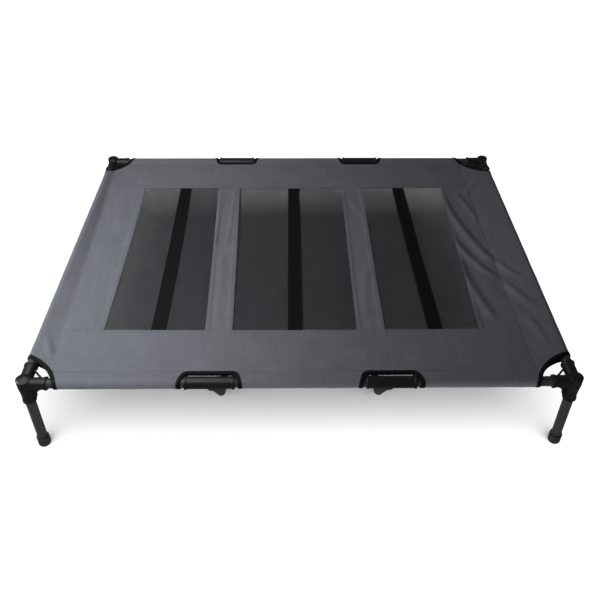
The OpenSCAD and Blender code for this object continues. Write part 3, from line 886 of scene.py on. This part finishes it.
def yarns(fixed, low, high, along_y, drop):
    """Yarns at the fixed places, each from low to high, with their middles drop under the cloth."""
    run = np.linspace(low, high, round((high - low) / YARN_SPAN) + 1)
    a, b = np.meshgrid(fixed, run, indexing="ij")
    x, y = (a, b) if along_y else (b, a)
    at_x = x + creep(x, y)
    centres = np.stack([at_x, y, cloth_height(at_x, y) - drop], -1)
    line = unit(np.gradient(centres, axis=1))
    across = unit(np.cross([0, 0, 1], line))
    return sweep(centres, across, np.cross(line, across), ring_outline(YARN_W, YARN_H, 6))


def mesh_panel(name):
    low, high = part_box(f"mesh_{name}")
    inset = YARN_W / 2
    columns = np.arange(low.x + inset, high.x - inset, YARN_PITCH)
    rows = np.arange(low.y + inset, high.y - inset, YARN_PITCH)
    upper = fabric_t + YARN_H / 2
    warp, warp_faces = yarns(columns, low.y, high.y, True, upper)
    weft, weft_faces = yarns(rows, low.x, high.x, False, upper + 0.7 * YARN_H)
    piece = new_piece(f"mesh_cloth_{name}", np.concatenate([warp, weft]),
                      np.concatenate([warp_faces, weft_faces + len(warp)]), mesh_yarn)
    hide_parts(f"mesh_{name}")


for name in ("left", "middle", "right"):
    mesh_panel(name)

# %% [markdown]
# ## Webbing
# A nylon strap runs down the middle of each mesh panel and helps it to hold the dog. It is thick and
# stiff, so it keeps its shape: a flat bar with round edges that follows the sag, on the mesh.

# %% Webbing
WEBBING_T = 1.5 * MM


def flat_outline(width, height, corner_steps=4):
    """A flat bar with round edges, anticlockwise from its lower right."""
    a = np.linspace(-np.pi / 2, np.pi / 2, 2 * corner_steps)
    right = np.stack([width / 2 - height / 2 + height / 2 * np.cos(a), height / 2 * np.sin(a)], -1)
    top = np.linspace(right[-1, 0], -right[-1, 0], 9)[1:-1]
    return np.concatenate([right, np.stack([top, np.full_like(top, height / 2)], -1), -right,
                           np.stack([-top, np.full_like(top, -height / 2)], -1)])


def webbing(name):
    low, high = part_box(f"webbing_{name}")
    y = np.linspace(low.y, high.y, round((high.y - low.y) / STEP) + 1)
    x = np.full_like(y, (low.x + high.x) / 2)
    at_x = x + creep(x, y)
    centres = np.stack([at_x, y, cloth_height(at_x, y) - fabric_t + WEBBING_T / 2 + 0.1 * MM], -1)
    line = unit(np.gradient(centres, axis=0))
    across = unit(np.cross(line, [0, 0, 1]))
    up = np.cross(across, line)
    outline = flat_outline(high.x - low.x, WEBBING_T)
    points, faces = sweep(centres[None], -across[None], up[None], outline)
    uv = np.stack([np.broadcast_to(outline[:, 0], (len(y), len(outline))),
                   np.broadcast_to(y[:, None], (len(y), len(outline)))], -1)
    piece = new_piece(f"webbing_strap_{name}", points, faces, nylon, uv.reshape(-1, 2))
    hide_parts(f"webbing_{name}")


for name in ("left", "middle", "right"):
    webbing(name)

# %% [markdown]
# ## Binding tape
# Each cut edge is bound with grosgrain folded over it. Seen as a line, the edge of a cut-out is a
# closed loop: across the upper layer, round one rail, back along the lower layer and round the
# other. A narrow U-shaped outline is swept along that loop.


# %% The loop round a cut-out
def upper_height(q, d, e):
    """Height over the axis of a sleeve's upper layer, q inboard: the tube's round, then a line."""
    first, _ = tangents(d, e)
    on_x, on_z = sleeve_r * np.cos(first), sleeve_r * np.sin(first)
    line = on_z + (e - on_z) * (q - on_x) / (d - on_x)
    return np.where(q > on_x, line, np.sqrt(np.clip(sleeve_r**2 - q**2, 0, None)))


def lower_height(q, d, e):
    """The same for the lower layer."""
    _, last = tangents(d, e)
    on_x, on_z = sleeve_r * np.cos(last), sleeve_r * np.sin(last)
    line = on_z + (e - 1.5 * fabric_t - on_z) * (q - on_x) / (d - on_x)
    return np.where(q > on_x, line, -np.sqrt(np.clip(sleeve_r**2 - q**2, 0, None)))


def layer_height(x, y, height):
    """Height over the floor of the sleeves' upper or lower layer at a place near an edge."""
    q_long, q_side = rail_y - np.abs(y), rail_x - np.abs(x)
    d = seam_in(np.sign(x), y)
    seam_x = np.sign(x) * (rail_x - d)
    side_level = sag(seam_x, y)
    on_side = np.where(q_side < d, height(q_side, d, side_level), sag(x, y))
    long_e = sag(x, np.sign(y) * edge_y)
    over = np.clip((d - q_side) / side_seam, 0, 1)
    long_e = long_e + over * (sleeve_r - long_e)
    on_long = height(np.minimum(q_long, long_seam), long_seam, long_e)
    return rail_z + on_long + (on_side - on_long) * ease((q_long - long_seam) / (8 * MM) + 0.5)


LOOP_STEP = 2 * MM


def rail_turn(axis_end, cut_at, along_x, sx, sy):
    """Half a turn round the outside of a rail, from its top to its underside, along a cut's edge."""
    a = np.linspace(np.pi / 2, 3 * np.pi / 2, 21)[1:-1]
    q = sleeve_r * np.cos(a)
    t = cut_at(q)
    out = (rail_y if along_x else rail_x) - q
    place = axis_end(t)
    x, y = (place, sy * out) if along_x else (sx * out, place)
    points = np.stack([x, y, rail_z + sleeve_r * np.sin(a)], -1)
    normal = np.zeros_like(points)
    normal[:, 1 if along_x else 0] = -(sy if along_x else sx) * np.cos(a)
    normal[:, 2] = np.sin(a)
    return points, normal, np.zeros(len(a))


def laid(x, y, height, sign):
    """Points and normals of a path on the upper (sign 1) or lower (-1) layer."""
    z = layer_height(x, y, height)
    step = 0.5 * MM
    slope_x = (layer_height(x + step, y, height) - z) / step
    slope_y = (layer_height(x, y + step, height) - z) / step
    normal = unit(sign * np.stack([-slope_x, -slope_y, np.ones_like(x)], -1))
    return np.stack([x, y, z], -1), normal, np.ones(len(x))


def corner_loop(sx, sy):
    """Edge of a corner cut-out, which is an arc about a point outside the post."""
    shift = float(cut_shift(sx, sy))
    from_angle = math.asin(corner_back / corner_r)
    to_angle = math.acos((corner_back - shift) / corner_r)
    a = np.linspace(from_angle, to_angle, round(corner_r * (to_angle - from_angle) / LOOP_STEP))
    x = sx * (rail_x + corner_back - shift - corner_r * np.cos(a))
    y = sy * (rail_y + corner_back - corner_r * np.sin(a))
    parts = [laid(x, y, upper_height, 1)]
    parts.append(rail_turn(lambda t: sy * (rail_y - t), lambda q: corner_cut_side(q, shift), False, sx, sy))
    parts.append(laid(x[::-1], y[::-1], lower_height, -1))
    turned = rail_turn(lambda t: sx * (rail_x - t), lambda q: corner_cut(q, shift), True, sx, sy)
    parts.append([part[::-1] for part in turned])
    return [np.concatenate(part) for part in zip(*parts)]


def mid_outline():
    """Edge of a mid cut-out above the rail, from its left end to its right end."""
    lean = np.linspace(0, touch_q, 6)[:-1]
    a = np.linspace(mid_lean, math.pi / 2, 12)
    back = np.linspace(mid_cx, 0, 16)[1:]
    right_x = np.concatenate([mid_cut(lean), mid_cx + mid_round * np.cos(a), back])
    right_q = np.concatenate([lean, mid_cy + mid_round * np.sin(a), np.full_like(back, mid_depth)])
    return np.concatenate([-right_x[:-1], right_x[::-1]]), np.concatenate([right_q[:-1], right_q[::-1]])


def mid_loop(sx, sy):
    dx, q = mid_outline()
    x, y = sx * mid_x + dx, sy * (rail_y - q)
    parts = [laid(x, y, upper_height, 1)]
    parts.append(rail_turn(lambda t: sx * mid_x + t, mid_cut, True, sx, sy))
    parts.append(laid(x[::-1], y[::-1], lower_height, -1))
    turned = rail_turn(lambda t: sx * mid_x - t, mid_cut, True, sx, sy)
    parts.append([part[::-1] for part in turned])
    return [np.concatenate(part) for part in zip(*parts)]


# %% [markdown]
# ## Sweeping the tape
# The outline is a U turned on its side: a layer over the cloth, a round fold past the cut edge and
# a layer under it. Round a rail there is no room for the under layer, so there it is narrow.


# %% Tape
def tape_outline(under):
    """The folded tape, anticlockwise: first number away from the cut, second out of the cloth."""
    w, t, c = tape_w, tape_t, fabric_t
    thin = 0.3 * t + 0.7 * t * under
    back = w * (0.06 + 0.94 * under)
    places = [(w, 0.1 * t), (w, 0.8 * t), (w - 0.3 * t, t), (0.0, t), (-0.7 * t, 0.6 * t), (-t, -0.3 * c),
              (-t, -0.8 * c), (-0.7 * t, -c - 0.6 * thin), (0.0, -c - thin), (back - 0.2 * thin, -c - thin),
              (back, -c - 0.7 * thin), (back, -c - 0.1 * thin),
              (0.1 * t, -c - 0.05 * thin), (0.1 * t, 0.05 * t)]
    return np.stack([np.stack(np.broadcast_arrays(a, b, 0 * under)[:2], -1) for a, b in places], -2)


def tape(name, node, loop):
    centres, normal, roomy = loop
    line = unit(np.roll(centres, -1, 0) - np.roll(centres, 1, 0))
    away = unit(np.cross(normal, line))
    offset, reach = centres - centres.mean(0), away * tape_w
    if ((offset + reach) ** 2).sum() < ((offset - reach) ** 2).sum():
        away = -away
    smooth = sum(np.roll(roomy, step) for step in (-2, -1, 0, 1, 2)) / 5
    outline = tape_outline(smooth)
    handed = np.einsum("ij,ij->i", np.cross(away, normal), line).mean() > 0
    points, faces = sweep(centres[None], away[None], normal[None], outline[None], loop=True)
    if not handed:
        faces = faces[:, ::-1]
    length = run_length(centres)
    uv = np.stack([outline[..., 0], np.broadcast_to(length[:, None], outline.shape[:2])], -1)
    piece = new_piece(name, points, faces, grosgrain, uv.reshape(-1, 2))
    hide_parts(node)
    return centres, normal, away


ENDS = {"front": -1, "rear": 1}
SIDES = {"left": -1, "right": 1}
tape_lines = []
for end, sy in ENDS.items():
    for side, sx in SIDES.items():
        place = f"{end}_{side}"
        corner = tape(f"corner_binding_{place}", f"corner_tape_{place}", corner_loop(sx, sy))
        mid = tape(f"mid_binding_{place}", f"mid_tape_{place}", mid_loop(sx, sy))
        tape_lines += [corner, mid]

# %% [markdown]
# ## Stitches
# Lockstitch shows as a row of short beads, each a few millimetres long and sunk in the cloth. One
# small swept shape is repeated along every seam, and each group of seams is a single piece.

# %% Stitches
STITCH_PITCH = 4.5 * MM
STITCH_LONG = 3.3 * MM
STITCH_W = 0.9 * MM
STITCH_STEPS = np.array([-0.5, -0.22, 0.22, 0.5])  # along the stitch, in stitch lengths
STITCH_SHAPE = np.array([0.35, 1.0, 1.0, 0.35])  # share of its full width at each of them


def along_run(points, normal, pitch=STITCH_PITCH):
    """Places, directions and normals every pitch along a line of close points."""
    length = run_length(points)
    at = np.arange(pitch / 2, length[-1], pitch)

    def between(values, where):
        return np.stack([np.interp(where, length, values[:, k]) for k in range(3)], -1)

    line = between(points, at + MM) - between(points, at - MM)
    return between(points, at), unit(line), unit(between(normal, at))


def stitches(name, runs, material):
    """One piece of many beads: a small ellipse swept a stitch's length, narrow at both ends."""
    place, line, up = (np.concatenate(part) for part in zip(*[along_run(*run) for run in runs]))
    across = unit(np.cross(up, line))
    steps = STITCH_STEPS * STITCH_LONG
    centres = place[:, None] + line[:, None] * steps[:, None]
    outline = ring_outline(STITCH_W, 0.7 * STITCH_W, 4) * STITCH_SHAPE[:, None, None]
    sideways = np.broadcast_to(across[:, None], centres.shape)
    upward = np.broadcast_to(np.cross(line, across)[:, None], centres.shape)
    points, faces = sweep(centres, sideways, upward, outline[None])
    return new_piece(name, points, faces, material)


def cloth_run(x, y, lift):
    """A line on the cover, given by places on the unshifted cloth."""
    x, y = np.broadcast_arrays(x, y)
    at_x = x + creep(x, y)
    points = np.stack([at_x, y, cloth_height(at_x, y) + lift], -1)
    return points, np.broadcast_to([0.0, 0.0, 1.0], points.shape)


whole_y = np.linspace(-border_y, border_y, 200)
whole_x = np.linspace(-edge_x, edge_x, 400)
hem_lift = 0.45 * MM
runs = []
for g in GROOVES:
    for side in (-1, 1):
        runs.append(cloth_run(whole_x, side * (border_y + g), hem_lift))
        runs.append(cloth_run(side * (border_x + g), whole_y, hem_lift))
stitches("stitches_of_borders", runs, grey_thread)

runs = []
for name in ("left", "right"):
    low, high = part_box(f"column_{name}")
    for g in GROOVES:
        runs.append(cloth_run(low.x + g, whole_y, hem_lift))
        runs.append(cloth_run(high.x - g, whole_y, hem_lift))
stitches("stitches_of_columns", runs, grey_thread)

STRAP_STITCH = 3 * MM  # in from a strap's edge
strap_lift = WEBBING_T - fabric_t + 0.25 * MM
runs = []
for name in ("left", "middle", "right"):
    low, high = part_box(f"webbing_{name}")
    centre = (low.x + high.x) / 2
    for x in (low.x + STRAP_STITCH, high.x - STRAP_STITCH):
        points, up = cloth_run(centre, whole_y, strap_lift)
        runs.append((points + np.array([x - centre, 0, 0]), up))
stitches("stitches_of_webbing", runs, black_thread)

# %% [markdown]
# ## Seams along the sleeves
# A row of stitches runs just inside each sleeve seam, and one along every binding near the edge
# that lies on the cover.

# %% Seam and binding stitches
SEAM_STITCH = 2.5 * MM
seam_lift = 0.15 * MM
long_y = np.linspace(-edge_y, edge_y, 300)
runs = []
for side in (-1, 1):
    runs.append(cloth_run(whole_x, side * (rail_y - long_seam - SEAM_STITCH), seam_lift))
    runs.append(cloth_run(side * (edge_x - SEAM_STITCH), long_y, seam_lift))
stitches("stitches_of_sleeves", runs, grey_thread)

tape_lift = tape_t + 0.05 * MM
runs = []
for centres, normal, away in tape_lines:
    runs.append((centres + away * 0.7 * tape_w + normal * tape_lift, normal))
stitches("stitches_of_binding", runs, black_thread)

# %% [markdown]
# ## Floor
# A pale studio floor carries one soft shadow of the bed. Glossy rays don't see it, so the black
# parts reflect the dim room and not a white floor, which would turn them grey.


# %% Floor
def studio_floor():
    material, tree, shader = new_finish("pale_floor", Roughness=0.9, Specular_IOR_Level=0.1)
    place = add_node(tree, "ShaderNodeTexCoord").outputs["Object"]
    tree.links.new(mixed(tree, noise(tree, place, 0.6), "#f4f4f4", "#f8f8f8"), shader.inputs["Base Color"])
    mesh = bpy.data.meshes.new("floor")
    half = 20.0
    corners = [(-half, -half, 0), (half, -half, 0), (half, half, 0), (-half, half, 0)]
    mesh.from_pydata(corners, [], [(0, 1, 2, 3)])
    mesh.materials.append(material)
    floor = bpy.data.objects.new("floor", mesh)
    bpy.context.scene.collection.objects.link(floor)
    floor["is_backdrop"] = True
    return floor


floor = studio_floor()
floor.visible_glossy = False
print("floor", tuple(round(side, 1) for side in floor.dimensions))

# %% [markdown]
# ## Light
# Two lamps light the bed: a softbox close over its left end, which is why the cloth falls from
# light to dark along its length, and a window far off to the left. The floor has a wide sun of its
# own. Light linking keeps each lamp to its own group, so that the floor stays evenly pale however
# the bed is lit.


# %% Lights
def group(name, objects):
    """A collection that only a lamp uses, to say what it lights."""
    made = bpy.data.collections.new(name)
    for one in objects:
        made.objects.link(one)
    return made


def lamp(name, kind, place, target, energy, lights, **settings):
    """A lamp at a place, turned to a target, that lights one group only."""
    data = bpy.data.lights.new(name, kind)
    data.energy = energy
    for key, value in settings.items():
        setattr(data, key, value)
    made = bpy.data.objects.new(name, data)
    made.location = place
    made.rotation_euler = (Vector(target) - Vector(place)).to_track_quat("-Z", "Y").to_euler()
    made.visible_camera = False
    made.light_linking.receiver_collection = lights
    bpy.context.scene.collection.objects.link(made)
    return made


bed = group("bed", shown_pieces())
stage = group("stage", [floor])
lamp("softbox", "AREA", (-0.56, -0.156, 0.82), (-0.58, 0.05, 0.21), 5.1, bed,
     shape="RECTANGLE", size=0.7, size_y=1.2)
lamp("window", "AREA", (-2.2, -0.5, 1.1), (0.4, 0.0, 0.21), 30, bed, shape="SQUARE", size=0.7)
lamp("floor_light", "SUN", (0.0, -1.2, 2.0), (0.0, 0.0, 0.0), 4.4, stage, angle=math.radians(80))
ROOM_LIGHT = 0.11
world = bpy.data.worlds.new("studio")
world.use_nodes = True
background = world.node_tree.nodes["Background"].inputs
background["Color"].default_value = (1, 1, 1, 1)
background["Strength"].default_value = ROOM_LIGHT
bpy.context.scene.world = world
bpy.context.scene.view_settings.view_transform = "Standard"
